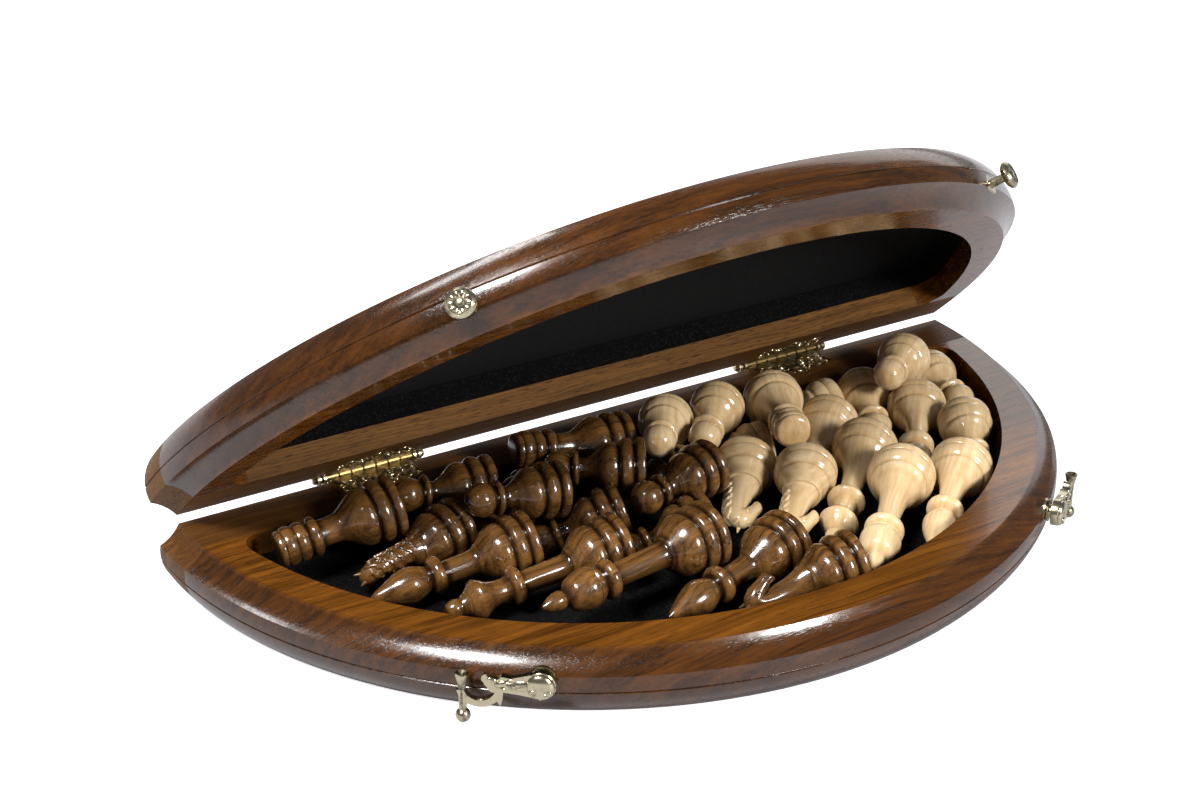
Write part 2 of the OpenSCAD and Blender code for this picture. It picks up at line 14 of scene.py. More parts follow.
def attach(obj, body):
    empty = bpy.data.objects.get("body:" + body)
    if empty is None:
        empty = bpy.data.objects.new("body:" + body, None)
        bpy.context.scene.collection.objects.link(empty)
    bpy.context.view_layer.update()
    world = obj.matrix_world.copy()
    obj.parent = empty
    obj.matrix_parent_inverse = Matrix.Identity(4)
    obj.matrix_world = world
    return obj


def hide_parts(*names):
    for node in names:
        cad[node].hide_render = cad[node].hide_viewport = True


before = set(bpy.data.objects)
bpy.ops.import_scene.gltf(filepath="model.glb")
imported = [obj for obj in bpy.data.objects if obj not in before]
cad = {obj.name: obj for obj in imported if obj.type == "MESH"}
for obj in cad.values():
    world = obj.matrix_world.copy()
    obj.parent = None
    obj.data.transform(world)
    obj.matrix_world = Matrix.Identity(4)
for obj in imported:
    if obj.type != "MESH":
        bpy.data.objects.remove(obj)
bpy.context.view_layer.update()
mm = 0.001
print("CAD nodes:", len(cad))

# %% [markdown]
# ## The camera
# A long lens from the front left, a little above the box. Its turn is made of three plain turns: round the
# upright axis, down towards the table, and a trace of tilt.

# %% Place the camera
camera_place = (-0.4690, -0.6829, 0.4765)
yaw, down, tilt = math.radians(30.73), math.radians(25.59), math.radians(-0.54)
film_width, focal_length = 36, 62.34
camera_turn = (Matrix.Rotation(-yaw, 3, "Z") @ Matrix.Rotation(math.pi / 2 - down, 3, "X")
               @ Matrix.Rotation(tilt, 3, "Z"))
bpy.ops.object.camera_add(location=camera_place, rotation=camera_turn.to_euler())
camera = bpy.context.object
camera.data.sensor_width = film_width
camera.data.lens = focal_length
camera.data.clip_start = 0.01
bpy.context.scene.camera = camera
print("camera looks", camera_turn @ Vector((0, 0, -1)))

# %% [markdown]
# ## Small helpers for shader nodes
# Every finish below is a little tree of nodes. Each of these helpers adds a node with its links or fills in
# its values, so that a finish can be read as a recipe and not as a list of links.

# %% Helpers for shader trees
def sockets(tree, way, **kinds):
    """Gives a node group its inputs or its outputs."""
    for name, kind in kinds.items():
        tree.interface.new_socket(name=name, in_out=way, socket_type=f"NodeSocket{kind}")


def fill(node, **values):
    """Sets a node's inputs; an underscore stands for the space in an input's name."""
    for name, value in values.items():
        node.inputs[name.replace("_", " ")].default_value = value


def noise(tree, vector, **values):
    made = tree.nodes.new("ShaderNodeTexNoise")
    fill(made, **values)
    tree.links.new(vector, made.inputs["Vector"])
    return made.outputs


def bumped(tree, shader, height, strength, distance):
    made = tree.nodes.new("ShaderNodeBump")
    fill(made, Strength=strength, Distance=distance)
    tree.links.new(height, made.inputs["Height"])
    tree.links.new(made.outputs["Normal"], shader.inputs["Normal"])


print("node helpers ready")

# %% [markdown]
# Sums and blends take plain numbers and other nodes' outputs alike. So one helper feeds both into a node's
# inputs, by their places, and the rest is built on it.


# %% Helpers for values and colours
def feed(tree, node, places, values):
    for place, value in zip(places, values):
        if isinstance(value, bpy.types.NodeSocket):
            tree.links.new(value, node.inputs[place])
        else:
            node.inputs[place].default_value = value


def maths(tree, operation, first, second):
    made = tree.nodes.new("ShaderNodeMath")
    made.operation = operation
    feed(tree, made, (0, 1), (first, second))
    return made.outputs[0]


def vector_maths(tree, operation, *values):
    made = tree.nodes.new("ShaderNodeVectorMath")
    made.operation = operation
    feed(tree, made, range(len(values)), values)
    return made.outputs


def blend_colours(tree, factor, first, second, how="MIX"):
    made = tree.nodes.new("ShaderNodeMix")
    made.data_type = "RGBA"
    made.blend_type = how
    feed(tree, made, (0, 6, 7), (factor, first, second))
    return made.outputs[2]


def remap(tree, value, low, high, to_low=0.0, to_high=1.0):
    made = tree.nodes.new("ShaderNodeMapRange")
    feed(tree, made, range(5), (value, low, high, to_low, to_high))
    return made.outputs[0]


print("helpers for values and colours ready")

# %% [markdown]
# ## The table
# The box stands on a white table whose far part glows with painted light, as if a lamp lit it from behind.
# Lacquer mirrors the table, so the glow whitens the far end of the rims. A real table near the box is duller
# than it looks through a lens set for dark wood, so what the lacquer mirrors is duller here than what the
# camera sees.

# %% Lay the table
table_width, table_shift, table_drop = 30, 2, 0.0002
seen_white, mirrored_white = (0.62, 0.62, 0.64, 1), (0.4, 0.4, 0.42, 1)
seen_glow, near_glow, far_glow = 0.75, 0.1, 0.65
glow_way, glow_starts, glow_full = (0.6, 0.8, 0), -1.4, -0.6
bpy.ops.object.select_all(action="DESELECT")
bpy.ops.mesh.primitive_plane_add(size=table_width, location=(0, table_shift, -table_drop))
floor = bpy.context.object
floor.name = "floor"
paint = bpy.data.materials.new("white table")
paint.use_nodes = True
tree = paint.node_tree
white = tree.nodes["Principled BSDF"]
fill(white, Roughness=0.6, Emission_Color=(0.97, 0.97, 1.0, 1))
on_table = tree.nodes.new("ShaderNodeTexCoord").outputs["Object"]
along = vector_maths(tree, "DOT_PRODUCT", on_table, glow_way)["Value"]
# Painted light: the table's emission grows towards the back, as if a lamp lit it from behind.
glow = remap(tree, along, glow_starts, glow_full, near_glow, far_glow)
seen = tree.nodes.new("ShaderNodeLightPath").outputs["Is Camera Ray"]
strongest = maths(tree, "MAXIMUM", glow, maths(tree, "MULTIPLY", seen, seen_glow))
tree.links.new(strongest, white.inputs["Emission Strength"])
tree.links.new(blend_colours(tree, seen, mirrored_white, seen_white), white.inputs["Base Color"])
floor.data.materials.append(paint)
print("table:", table_width, "m wide")

# %% [markdown]
# ## The lamps
# Lacquered wood and polished brass show every lamp as a streak. So the two lamps in front are small, for
# short bright streaks, and the two behind are large and weak, for a wide sheen on the far rims.


# %% Hang the lamps
def softbox(name, place, width, height, watts):
    turn = (lamps_aim - Vector(place)).to_track_quat("-Z", "Y").to_euler()
    bpy.ops.object.light_add(type="AREA", location=place, rotation=turn)
    lamp = bpy.context.object
    lamp.name = name
    lamp.data.shape = "RECTANGLE"
    lamp.data.size, lamp.data.size_y = width, height
    lamp.data.energy = watts


lamps_aim = Vector((0, 0, 0.05))
softbox("key softbox", (-1.0, -0.3, 1.5), width=0.42, height=0.42, watts=48)
softbox("front softbox", (0.55, -1.75, 0.95), width=0.45, height=0.45, watts=44)
softbox("back softbox", (-0.5, 1.6, 1.9), width=1.2, height=0.35, watts=18)
softbox("right softbox", (1.7, 1.5, 1.1), width=1.8, height=1.4, watts=11)
world = bpy.data.worlds.new("studio")
bpy.context.scene.world = world
world.use_nodes = True
fill(world.node_tree.nodes["Background"], Color=(0.95, 0.96, 1, 1), Strength=0.16)
bpy.context.scene.view_settings.view_transform = "Standard"

# %% [markdown]
# ## The lid's own frame
# The lid stands open on its hinge. What is made for the lower half is brought to the lid by shutting it
# mirrored on top and swinging it open, as the box itself does. The finishes need it too, because the painted
# shade on the rims follows each half's own edge.

# %% The swing of the lid
spine_y = 112.5
swing_back, half_height, seat_gap, lid_open = 4.8, 28, 0.3, 41.67
hinge_axis = Vector((0, spine_y + swing_back, half_height + seat_gap / 2)) * mm
shut = Matrix.Translation((0, 0, 2 * hinge_axis.z)) @ Matrix.Scale(-1, 4, (0, 0, 1))
swing = (Matrix.Translation(hinge_axis) @ Matrix.Rotation(math.radians(-lid_open), 4, "X")
         @ Matrix.Translation(-hinge_axis))
to_lid = swing @ shut
disc_centre = Vector((0, spine_y, 0)) * mm
from_centre = Matrix.Translation(-disc_centre)
back_from = {"base": from_centre, "lid": from_centre @ swing.inverted()}
print("hinge axis", hinge_axis)

# %% [markdown]
# ## Stained wood
# Walnut stain over a pale wood goes dark in the pores and along the softer bands of each year's growth.
# One group makes that figure, long along its X axis, and every wood in the box uses it with its own colours
# and scale. The same group also paints shade: it multiplies the colour by a shade tint wherever it is told
# to. The lacquer over it is the coat of the shader.

# %% Make the wood figure group
years, streaks, pores_long, clouds = (5, 80, 300), (15, 480, 1100), (130, 1700, 2300), (9, 34, 34)
sway_fineness, sway_reach = 9.0, (0.0, 0.012, 0.012)
pore_black, cloud_share = (0.012, 0.005, 0.002, 1), 0.3
lacquer_roughness, pore_roughness, streak_height = 0.17, 0.3, 0.3
wood_figure = bpy.data.node_groups.new("Wood figure", "ShaderNodeTree")
tree = wood_figure
sockets(tree, "INPUT", Vector="Vector", Dark="Color", Light="Color", Bands="Float", Pores="Float",
        Hollows="Float", Soaked="Color")
sockets(tree, "OUTPUT", Color="Color", Roughness="Float", Height="Float")
given = tree.nodes.new("NodeGroupInput").outputs
result = tree.nodes.new("NodeGroupOutput").inputs

bend = noise(tree, given["Vector"], Scale=sway_fineness, Detail=2.0)
swayed = vector_maths(tree, "MULTIPLY_ADD", bend["Color"], sway_reach, given["Vector"])[0]
scales = ((swayed, years), (swayed, streaks), (given["Vector"], pores_long), (given["Vector"], clouds))
by_year, by_streak, by_pore, by_cloud = (vector_maths(tree, "MULTIPLY", *pair)[0] for pair in scales)
growth = noise(tree, by_year, Scale=1.0, Detail=4.0, Roughness=0.55)
streak = noise(tree, by_streak, Scale=1.0, Detail=5.0, Roughness=0.7)
pore = noise(tree, by_pore, Scale=1.0, Detail=1.0)
cloud = noise(tree, by_cloud, Scale=1.0, Detail=3.0)

band_share = remap(tree, growth["Fac"], 0.38, 0.62)
streak_share = remap(tree, streak["Fac"], 0.33, 0.67)
pore_share = remap(tree, pore["Fac"], 0.58, 0.68)
cloud_cover = remap(tree, cloud["Fac"], 0.35, 0.65, 0.0, cloud_share)
figure = maths(tree, "ADD", maths(tree, "MULTIPLY", band_share, given["Bands"]),
               maths(tree, "MULTIPLY", streak_share, maths(tree, "SUBTRACT", 1.0, given["Bands"])))
plain = blend_colours(tree, figure, given["Dark"], given["Light"])
clouded = blend_colours(tree, cloud_cover, plain, given["Dark"])
pored = maths(tree, "MULTIPLY", pore_share, given["Pores"])
fine = blend_colours(tree, pored, clouded, pore_black)
# Painted shade: where the shade amount is high, the figure is multiplied by the shade tint.
shade_tint = blend_colours(tree, 1.0, fine, given["Soaked"], how="MULTIPLY")
tree.links.new(blend_colours(tree, given["Hollows"], fine, shade_tint), result["Color"])
rough = maths(tree, "ADD", maths(tree, "MULTIPLY", pored, pore_roughness), lacquer_roughness)
tree.links.new(rough, result["Roughness"])
high = maths(tree, "SUBTRACT", maths(tree, "MULTIPLY", streak_share, streak_height), pored)
tree.links.new(high, result["Height"])
print("wood figure group:", len(tree.nodes), "nodes")

# %% [markdown]
# Grain has a direction, so a finish turns and shifts the figure to suit its piece. The rims also get painted
# shade, which has a place too: it darkens the cove and band where the flat top of a half turns over, at a
# set distance from the disc's centre.


# %% Place the figure and the painted shade
def shader_of(name):
    made = bpy.data.materials.new(name)
    made.use_nodes = True
    return made, made.node_tree, made.node_tree.nodes["Principled BSDF"]


def placed_vector(tree, turn, shift=(0, 0, 0)):
    seen = tree.nodes.new("ShaderNodeTexCoord")
    moved = tree.nodes.new("ShaderNodeMapping")
    moved.inputs["Rotation"].default_value = [math.radians(angle) for angle in turn]
    moved.inputs["Location"].default_value = shift
    tree.links.new(seen.outputs["Object"], moved.inputs["Vector"])
    return moved.outputs["Vector"]


def attribute(tree, name, output):
    made = tree.nodes.new("ShaderNodeAttribute")
    made.attribute_name = name
    return made.outputs[output]


def painted_shade_at_edge(tree, half, start=214.5, full=216.5, most=0.8):
    """Painted shade: grows from 0 to its most where the flat top of a half turns over into the cove and the
    band.
    """
    back = back_from[half]
    place = placed_vector(tree, [math.degrees(angle) for angle in back.to_euler()], back.translation)
    level = vector_maths(tree, "MULTIPLY", place, (1, 1, 0))[0]
    reach = vector_maths(tree, "LENGTH", level)["Value"]
    return remap(tree, reach, start * mm, full * mm, 0, most)


print("edges are measured from", disc_centre)

# %% [markdown]
# A finish is the group inside one material, with the lacquer's own values set on the shader: how thick the
# coat is, how smooth, and how deep the pores still show through it.


# %% Mix the wood finishes
def wood(name, dark, light, bands=0.5, pores=0.5, coat=0.2, coat_roughness=0.06, bump=0.13,
         turn=(0, 0, 0), shift=(0, 0, 0), own_place=False, edge_of=None, shade_tint=(1, 1, 1), satin=None):
    """A lacquered finish, or a satin one of the given roughness, with a tint for the painted shade in men's
    hollows and on the rims' edges.
    """
    made, tree, shader = shader_of(name)
    group = tree.nodes.new("ShaderNodeGroup")
    group.node_tree = wood_figure
    if own_place:
        tree.links.new(attribute(tree, "own_place", "Vector"), group.inputs["Vector"])
        tree.links.new(attribute(tree, "painted_shade", "Fac"), group.inputs["Hollows"])
    else:
        tree.links.new(placed_vector(tree, turn, shift), group.inputs["Vector"])
    if edge_of:
        tree.links.new(painted_shade_at_edge(tree, edge_of), group.inputs["Hollows"])
    fill(group, Dark=(*dark, 1), Light=(*light, 1), Soaked=(*shade_tint, 1), Bands=bands, Pores=pores)
    tree.links.new(group.outputs["Color"], shader.inputs["Base Color"])
    if satin:
        fill(shader, Roughness=satin, Specular_IOR_Level=satin_sheen)
    else:
        tree.links.new(group.outputs["Roughness"], shader.inputs["Roughness"])
    bumped(tree, shader, group.outputs["Height"], bump, pore_depth)
    fill(shader, Coat_Weight=coat, Coat_Roughness=coat_roughness)
    return made


pore_depth, satin_sheen = 0.4 * mm, 0.12
rail_finish = wood("stained rail", (0.030, 0.011, 0.003), (0.15, 0.060, 0.014), bands=0.35, coat=0.05,
                   turn=(62, 0, 0), shift=(0, 0, 0.5), satin=0.42)
lid_rail_finish = wood("stained lid rail", (0.062, 0.025, 0.005), (0.19, 0.083, 0.019), bands=0.15,
                       pores=0.8, coat=0.0, turn=(40, 0, 0), shift=(0.7, 0, 0), satin=0.5)
panel_finish = wood("panel ply", (0.28, 0.17, 0.08), (0.45, 0.29, 0.15), coat=0.0)
board_satin = 0.58
border_finish = wood("walnut border", (0.05, 0.022, 0.009), (0.15, 0.07, 0.03), bands=0.6, coat=0.0,
                     satin=board_satin)
walnut_finish = wood("walnut squares", (0.045, 0.02, 0.008), (0.13, 0.06, 0.026), bands=0.6, coat=0.0,
                     turn=(0, 0, 90), satin=board_satin)
maple_finish = wood("maple squares", (0.52, 0.34, 0.15), (0.70, 0.49, 0.25), bands=0.6, pores=0.1, coat=0.0,
                    satin=board_satin)
print("wood finishes mixed")

# %% [markdown]
# ## Dressing the halves
# The rims are glued up from three segments, and each is cut from another stretch of the plank. So each
# segment gets the same stain in a material of its own, with the grain turned to follow its length.


# %% Dress the wooden nodes
def dress(node, finish):
    piece = cad[node]
    piece.data.materials.clear()
    piece.data.materials.append(finish)


# The last of these colours is the tint of the painted shade on the rims' cove and band.
stain_dark, stain_light, rim_shade_tint = (0.028, 0.009, 0.0015), (0.215, 0.074, 0.009), (0.26, 0.22, 0.18)
rim_segments = {"left": ((62, 0, 8), (0.3, 0.1, 0)), "front": ((62, 0, -3), (0, 0, 0)),
                "right": ((62, 0, -8), (0, 0.4, 0.2))}
for half in ("base", "lid"):
    for segment, (turn, shift) in rim_segments.items():
        rim_finish = wood(f"stained {half} rim, {segment}", stain_dark, stain_light, turn=turn, shift=shift,
                          edge_of=half, shade_tint=rim_shade_tint)
        dress(f"{half}_rim_{segment}", rim_finish)
    dress(f"{half}_panel", panel_finish)
    dress(f"{half}_board_border", border_finish)
    dress(f"{half}_dark_squares", walnut_finish)
    dress(f"{half}_light_squares", maple_finish)
dress("base_spine_rail", rail_finish)
dress("lid_spine_rail", lid_rail_finish)
print("dressed the two halves")

# %% [markdown]
# ## Brass
# Cast brass that is handled for years stays dark in its hollows and is rubbed bright on its high points.
# Pointiness tells a shader which is which, and a fine noise breaks the border between the two, so one group
# serves every brass piece with its own pair of colours.

# %% Make the worn brass group
spot_fineness, wear_border, dull_roughness = 300.0, 0.4, 0.25
worn_brass = bpy.data.node_groups.new("Worn brass", "ShaderNodeTree")
tree = worn_brass
sockets(tree, "INPUT", Vector="Vector", Dull="Color", Bright="Color", Smoothness="Float")
sockets(tree, "OUTPUT", Color="Color", Roughness="Float", Height="Float")
given = tree.nodes.new("NodeGroupInput").outputs
result = tree.nodes.new("NodeGroupOutput").inputs
spots = noise(tree, given["Vector"], Scale=spot_fineness, Detail=5.0, Roughness=0.65)
pointed = tree.nodes.new("ShaderNodeNewGeometry").outputs["Pointiness"]
uneven = remap(tree, spots["Fac"], 0.3, 0.7, -wear_border, wear_border)
raised = maths(tree, "ADD", remap(tree, pointed, 0.44, 0.56), uneven)
rubbed = remap(tree, raised, 0.25, 0.75)
tree.links.new(blend_colours(tree, rubbed, given["Dull"], given["Bright"]), result["Color"])
rough = maths(tree, "ADD", given["Smoothness"], remap(tree, rubbed, 1, 0, 0, dull_roughness))
tree.links.new(rough, result["Roughness"])
tree.links.new(spots["Fac"], result["Height"])
print("worn brass group:", len(tree.nodes), "nodes")

# %% [markdown]
# There are four brasses. The hinge leaves are darkened, with rubbed ornament and pins, and a near-black one
# is painted shadow in the gaps between the knuckles. The hooks and studs are a paler brass, polished.


# %% Mix the brasses
def brass(name, dull, bright, smoothness):
    made, tree, shader = shader_of(name)
    group = tree.nodes.new("ShaderNodeGroup")
    group.node_tree = worn_brass
    tree.links.new(placed_vector(tree, (0, 0, 0)), group.inputs["Vector"])
    fill(group, Dull=(*dull, 1), Bright=(*bright, 1), Smoothness=smoothness)
    tree.links.new(group.outputs["Color"], shader.inputs["Base Color"])
    tree.links.new(group.outputs["Roughness"], shader.inputs["Roughness"])
    bumped(tree, shader, group.outputs["Height"], 0.2, casting_depth)
    fill(shader, Metallic=1)
    return made


casting_depth = 0.2 * mm
brass_hollow = brass("darkened brass", (0.025, 0.016, 0.006), (0.20, 0.14, 0.055), 0.32)
# Near black: painted shadow for the gaps between the knuckles.
gap_shadow_black = brass("painted knuckle-gap shadow", (0.004, 0.003, 0.002), (0.012, 0.009, 0.005), 0.5)
brass_rubbed = brass("rubbed brass", (0.14, 0.10, 0.05), (0.78, 0.66, 0.43), 0.22)
brass_pale = brass("polished brass", (0.07, 0.058, 0.036), (0.52, 0.46, 0.32), 0.22)
for side in ("left", "right"):
    dress(f"{side}_hinge_pin", brass_rubbed)
    for name in ("hook_plate", "hook_pivot", "stud_washer"):
        dress(f"{side}_{name}", brass_pale)
for half in ("base", "lid"):
    dress(f"{half}_hinge_screws", brass_rubbed)
print("dressed the brass")

# %% [markdown]
# ## Velvet
# Black velvet drinks light when seen from the front and shows a faint bloom at a slant. The pile is too
# fine to model, so it is a fine noise in colour and bump, with the shader's own sheen.

# %% Mix the velvet
pile_fineness, nap_fineness, pile_depth = 850.0, 24.0, 0.5 * mm
pile_black, lint_grey = (0.0022, 0.0022, 0.0022, 1), (0.013, 0.0125, 0.012, 1)
brushed_black = (0.004, 0.004, 0.004, 1)
velvet, tree, shader = shader_of("black velvet")
vector = placed_vector(tree, (0, 0, 0))
pile = noise(tree, vector, Scale=pile_fineness, Detail=2.0)
nap = noise(tree, vector, Scale=nap_fineness, Detail=4.0)
linted = blend_colours(tree, remap(tree, pile["Fac"], 0.5, 0.75), pile_black, lint_grey)
brushed = remap(tree, nap["Fac"], 0.3, 0.7, 0, 0.6)
tree.links.new(blend_colours(tree, brushed, linted, brushed_black), shader.inputs["Base Color"])
fill(shader, Roughness=0.95, Specular_IOR_Level=0.03, Sheen_Weight=0.015, Sheen_Roughness=0.4)
bumped(tree, shader, pile["Fac"], 0.5, pile_depth)
print("velvet mixed")

# %% [markdown]
# ## Small helpers for pieces
# An operator acts on all that is selected, so each helper first picks the pieces that it works on. A settled
# piece has its place in its mesh and its object at the origin, as every finished piece must.


# %% Helpers for picking, joining and placing
def pick(*pieces):
    bpy.ops.object.select_all(action="DESELECT")
    for piece in pieces:
        piece.select_set(True)
    bpy.context.view_layer.objects.active = pieces[0]


def joined(name, *pieces):
    pick(*pieces)
    bpy.ops.object.join()
    pieces[0].name = name
    return pieces[0]


def copied(piece, name):
    pick(piece)
    bpy.ops.object.duplicate(linked=False)
    bpy.context.object.name = name
    return bpy.context.object


def outward(piece):
    pick(piece)
    bpy.ops.object.mode_set(mode="EDIT")
    bpy.ops.mesh.select_all(action="SELECT")
    bpy.ops.mesh.normals_make_consistent(inside=False)
    bpy.ops.object.mode_set(mode="OBJECT")
    return piece


def settled(piece, place):
    pick(piece)
    piece.matrix_world = place
    bpy.ops.object.transform_apply(location=True, rotation=True, scale=True)
    return piece


print("helpers for pieces ready")

# %% [markdown]
# ## Turned men
# A turner shapes a man against a drawn outline. Here one vertex is drawn out along that outline and spun
# round the upright axis. Outlines are pairs of radius and height in millimetres, and a third value marks a
# crisp corner, such as the edge of a groove; everything between corners is drawn as one flowing curve.

# %% Draw and turn an outline
def flowing(points, spans=4):
    """Fills each run between crisp corners with a smooth curve through its points."""
    drawn = [Vector(points[0][:2])]
    crisp = [len(point) > 2 for point in points]
    crisp[0] = crisp[-1] = True
    for here in range(len(points) - 1):
        a, b = Vector(points[here][:2]), Vector(points[here + 1][:2])
        before = a - (b - a) if crisp[here] else Vector(points[here - 1][:2])
        after = b + (b - a) if crisp[here + 1] else Vector(points[here + 2][:2])
        steps = 1 if crisp[here] and crisp[here + 1] else spans
        for step in range(1, steps + 1):
            t = step / steps
            drawn.append(0.5 * ((2 * a) + (b - before) * t + (2 * before - 5 * a + 4 * b - after) * t * t
                                + (3 * a - before - 3 * b + after) * t * t * t))
    return drawn


merged_within, turned_crease = 0.02 * mm, math.radians(42)


def turned(name, outline, steps=40):
    """One vertex, drawn out along the outline and spun once round the upright axis."""
    bpy.ops.object.select_all(action="DESELECT")
    bpy.ops.mesh.primitive_plane_add(size=mm)
    piece = bpy.context.object
    piece.name = name
    bpy.ops.object.mode_set(mode="EDIT")
    bpy.ops.mesh.select_all(action="SELECT")
    bpy.ops.mesh.merge(type="CENTER")
    drawn = flowing(outline)
    here = Vector((0, 0))
    for count, point in enumerate(drawn):
        step = (point - here) * mm
        move = {"value": (step.x, 0, step.y)}
        if count == 0:
            bpy.ops.transform.translate(**move)
        else:
            bpy.ops.mesh.extrude_vertices_move(TRANSFORM_OT_translate=move)
        here = point
    bpy.ops.mesh.select_all(action="SELECT")
    bpy.ops.mesh.spin(steps=steps, angle=2 * math.pi, center=(0, 0, 0), axis=(0, 0, 1))
    bpy.ops.mesh.select_all(action="SELECT")
    bpy.ops.mesh.remove_doubles(threshold=merged_within)
    bpy.ops.object.mode_set(mode="OBJECT")
    outward(piece)
    bpy.ops.object.shade_smooth_by_angle(angle=turned_crease)
    return piece


# %% [markdown]
# The dark men have crisp beads and grooves. The light men, from a paler and softer wood, are rounder: their
# feet are domes with shallow rings.

# %% Outlines of the feet
def dark_foot(r):
    return [(0, 0, 1), (r - 1.6, 0, 1), (r - 0.4, 0.6), (r, 2), (r - 0.3, 3.6), (r - 1.4, 4.5, 1),
            (r - 2.6, 4.9, 1), (r - 2.4, 5.5, 1), (r - 0.9, 6.4), (r - 0.2, 8.4), (r - 0.5, 10.4),
            (r - 1.7, 11.7, 1), (r - 3.1, 12.1, 1), (r - 2.9, 12.7, 1)]


def light_foot(r):
    return [(0, 0), (r * 0.45, 0.1), (r - 2.6, 0.9), (r - 0.7, 2.8), (r - 0.1, 5.2), (r - 0.5, 7.2),
            (r - 0.9, 7.8), (r - 0.3, 8.8), (r - 0.3, 11), (r - 1.4, 13.6), (r - 2.6, 14.8), (r - 2.9, 15.6),
            (r - 3.1, 17)]


foot_radius = {"pawn": 13.5, "rook": 15, "knight": 15, "bishop": 15, "queen": 16, "king": 16}
print("feet across, mm:", {kind: 2 * radius for kind, radius in foot_radius.items()})

# %% [markdown]
# From the foot up, both sets share one outline for each kind: waist, collar and head. The knight's outline
# stops flat, because his head is carved.

# %% Outlines of the bodies
bodies = {
    "pawn": [(8.4, 19), (6.2, 22), (4.9, 25), (4.6, 28), (5.0, 30.2, 1), (7.4, 30.9), (8.1, 32), (7.4, 33.2),
             (5.2, 34, 1), (6.7, 36), (8, 39.8), (7.0, 43.4), (4.4, 46.4), (0, 48)],
    "rook": [(10.2, 20), (8.2, 24), (6.9, 28), (6.3, 33), (6.4, 37.4, 1), (8.4, 38.4), (9.1, 40),
             (8.4, 41.8), (6.5, 43, 1), (8.2, 44.2), (8.9, 46.4), (8.5, 48.4), (7.9, 49, 1), (8.5, 49.8),
             (9, 52), (8.6, 54), (7.9, 54.6, 1), (8.3, 55.4), (7.8, 57), (6, 57.9), (3, 58.2), (0, 58.3)],
    "bishop": [(10, 20), (7.6, 24), (6.0, 29), (5.2, 36), (5.1, 43, 1), (7.8, 43.8), (8.7, 45.4), (8.6, 47),
               (7.4, 48.6), (5.1, 49.6, 1), (6.2, 52), (7.8, 56.6), (7.9, 60), (6.6, 65), (4.2, 70.4),
               (2.2, 75), (0, 78)],
    "queen": [(10.6, 20), (8.0, 25), (6.2, 31), (5.3, 40), (5.1, 50.2, 1), (7.8, 51), (8.9, 52.8),
              (8.6, 54.6), (5.6, 56.4, 1), (5.2, 60), (6.1, 65), (8.4, 69.4), (9.2, 71.2, 1), (8.4, 73, 1),
              (6.8, 74.4), (4.8, 77), (3.5, 79.6, 1), (4.1, 82.4), (2.6, 85.6), (0, 87.4)],
    "king": [(10.6, 20), (8.2, 25), (6.5, 31), (5.5, 42), (5.2, 54.2, 1), (8.0, 55), (9, 56.8), (8.6, 58.8),
             (6.0, 60.8, 1), (7.4, 62.6), (9.0, 65.4, 1), (8.6, 66, 1), (9.2, 66.8, 1), (9.3, 69),
             (8.7, 71.6, 1), (7.0, 76.4), (4.4, 78.6), (3.1, 79.6, 1), (4.2, 82.6), (3.4, 86.8), (1.2, 91),
             (0, 92)],
    "knight": [(10.2, 20), (9.6, 22), (9.2, 24), (8.6, 25, 1), (0, 25, 1)]}
print("heights, mm:", {kind: outline[-1][1] for kind, outline in bodies.items()})

# %% [markdown]
# A dark man swells once more above his foot, and narrows to the neck in one S-curve. Half a cosine wave is
# that curve, so it is worked out instead of drawn point by point.


# %% Turn one man of each kind
bell_start, bell_end, bell_inset = 15.6, 31, 1.7


def dark_bell(radius, outline):
    neck, level, *_ = outline[3]
    wide, level = radius - bell_inset, min(level, bell_end)
    swelling = [(neck + (wide - neck) * (1 + math.cos(math.pi * share)) / 2,
                 bell_start + (level - bell_start) * share) for share in (0.0, 0.18, 0.36, 0.54, 0.7, 0.86)]
    return [(radius - 2.2, 13.4)] + swelling + outline[3:]


dark_patterns, light_patterns = {}, {}
for kind, radius in foot_radius.items():
    dark_outline = dark_foot(radius) + dark_bell(radius, bodies[kind])
    dark_patterns[kind] = turned(f"dark_{kind}_pattern", dark_outline)
    light_patterns[kind] = turned(f"light_{kind}_pattern", light_foot(radius) + bodies[kind])
print("turned patterns:", {kind: len(piece.data.polygons) for kind, piece in dark_patterns.items()})

# %% [markdown]
# ## The knight's head
# A knight can't be turned. Its head grows from a ring: the ring is drawn out, tilted and narrowed along the
# neck and over the crest to the muzzle, as a carver roughs out a horse from a block.


# %% Rough out the knight's head
def knight_head(name):
    bpy.ops.object.select_all(action="DESELECT")
    forward, height, deep, wide, _ = neck_rings[0]
    bpy.ops.mesh.primitive_circle_add(vertices=16, radius=mm, location=(0, 0, 0))
    head = bpy.context.object
    head.name = name
    bpy.ops.object.mode_set(mode="EDIT")
    bpy.ops.mesh.select_all(action="SELECT")
    bpy.ops.transform.resize(value=(deep, wide, 1))
    bpy.ops.transform.translate(value=(forward * mm, 0, height * mm))
    last = neck_rings[0]
    for ring in neck_rings[1:]:
        bpy.ops.mesh.extrude_edges_move()
        centre = (last[0] * mm, 0, last[1] * mm)
        bpy.ops.transform.rotate(value=math.radians(last[4]), orient_axis="Y", center_override=centre)
        bpy.ops.transform.resize(value=(ring[2] / last[2], ring[3] / last[3], 1), center_override=centre)
        bpy.ops.transform.rotate(value=math.radians(-ring[4]), orient_axis="Y", center_override=centre)
        bpy.ops.transform.translate(value=((ring[0] - last[0]) * mm, 0, (ring[1] - last[1]) * mm))
        last = ring
    bpy.ops.mesh.edge_face_add()
    bpy.ops.mesh.inset(thickness=lip * mm)
    bpy.ops.object.mode_set(mode="OBJECT")
    return outward(head)


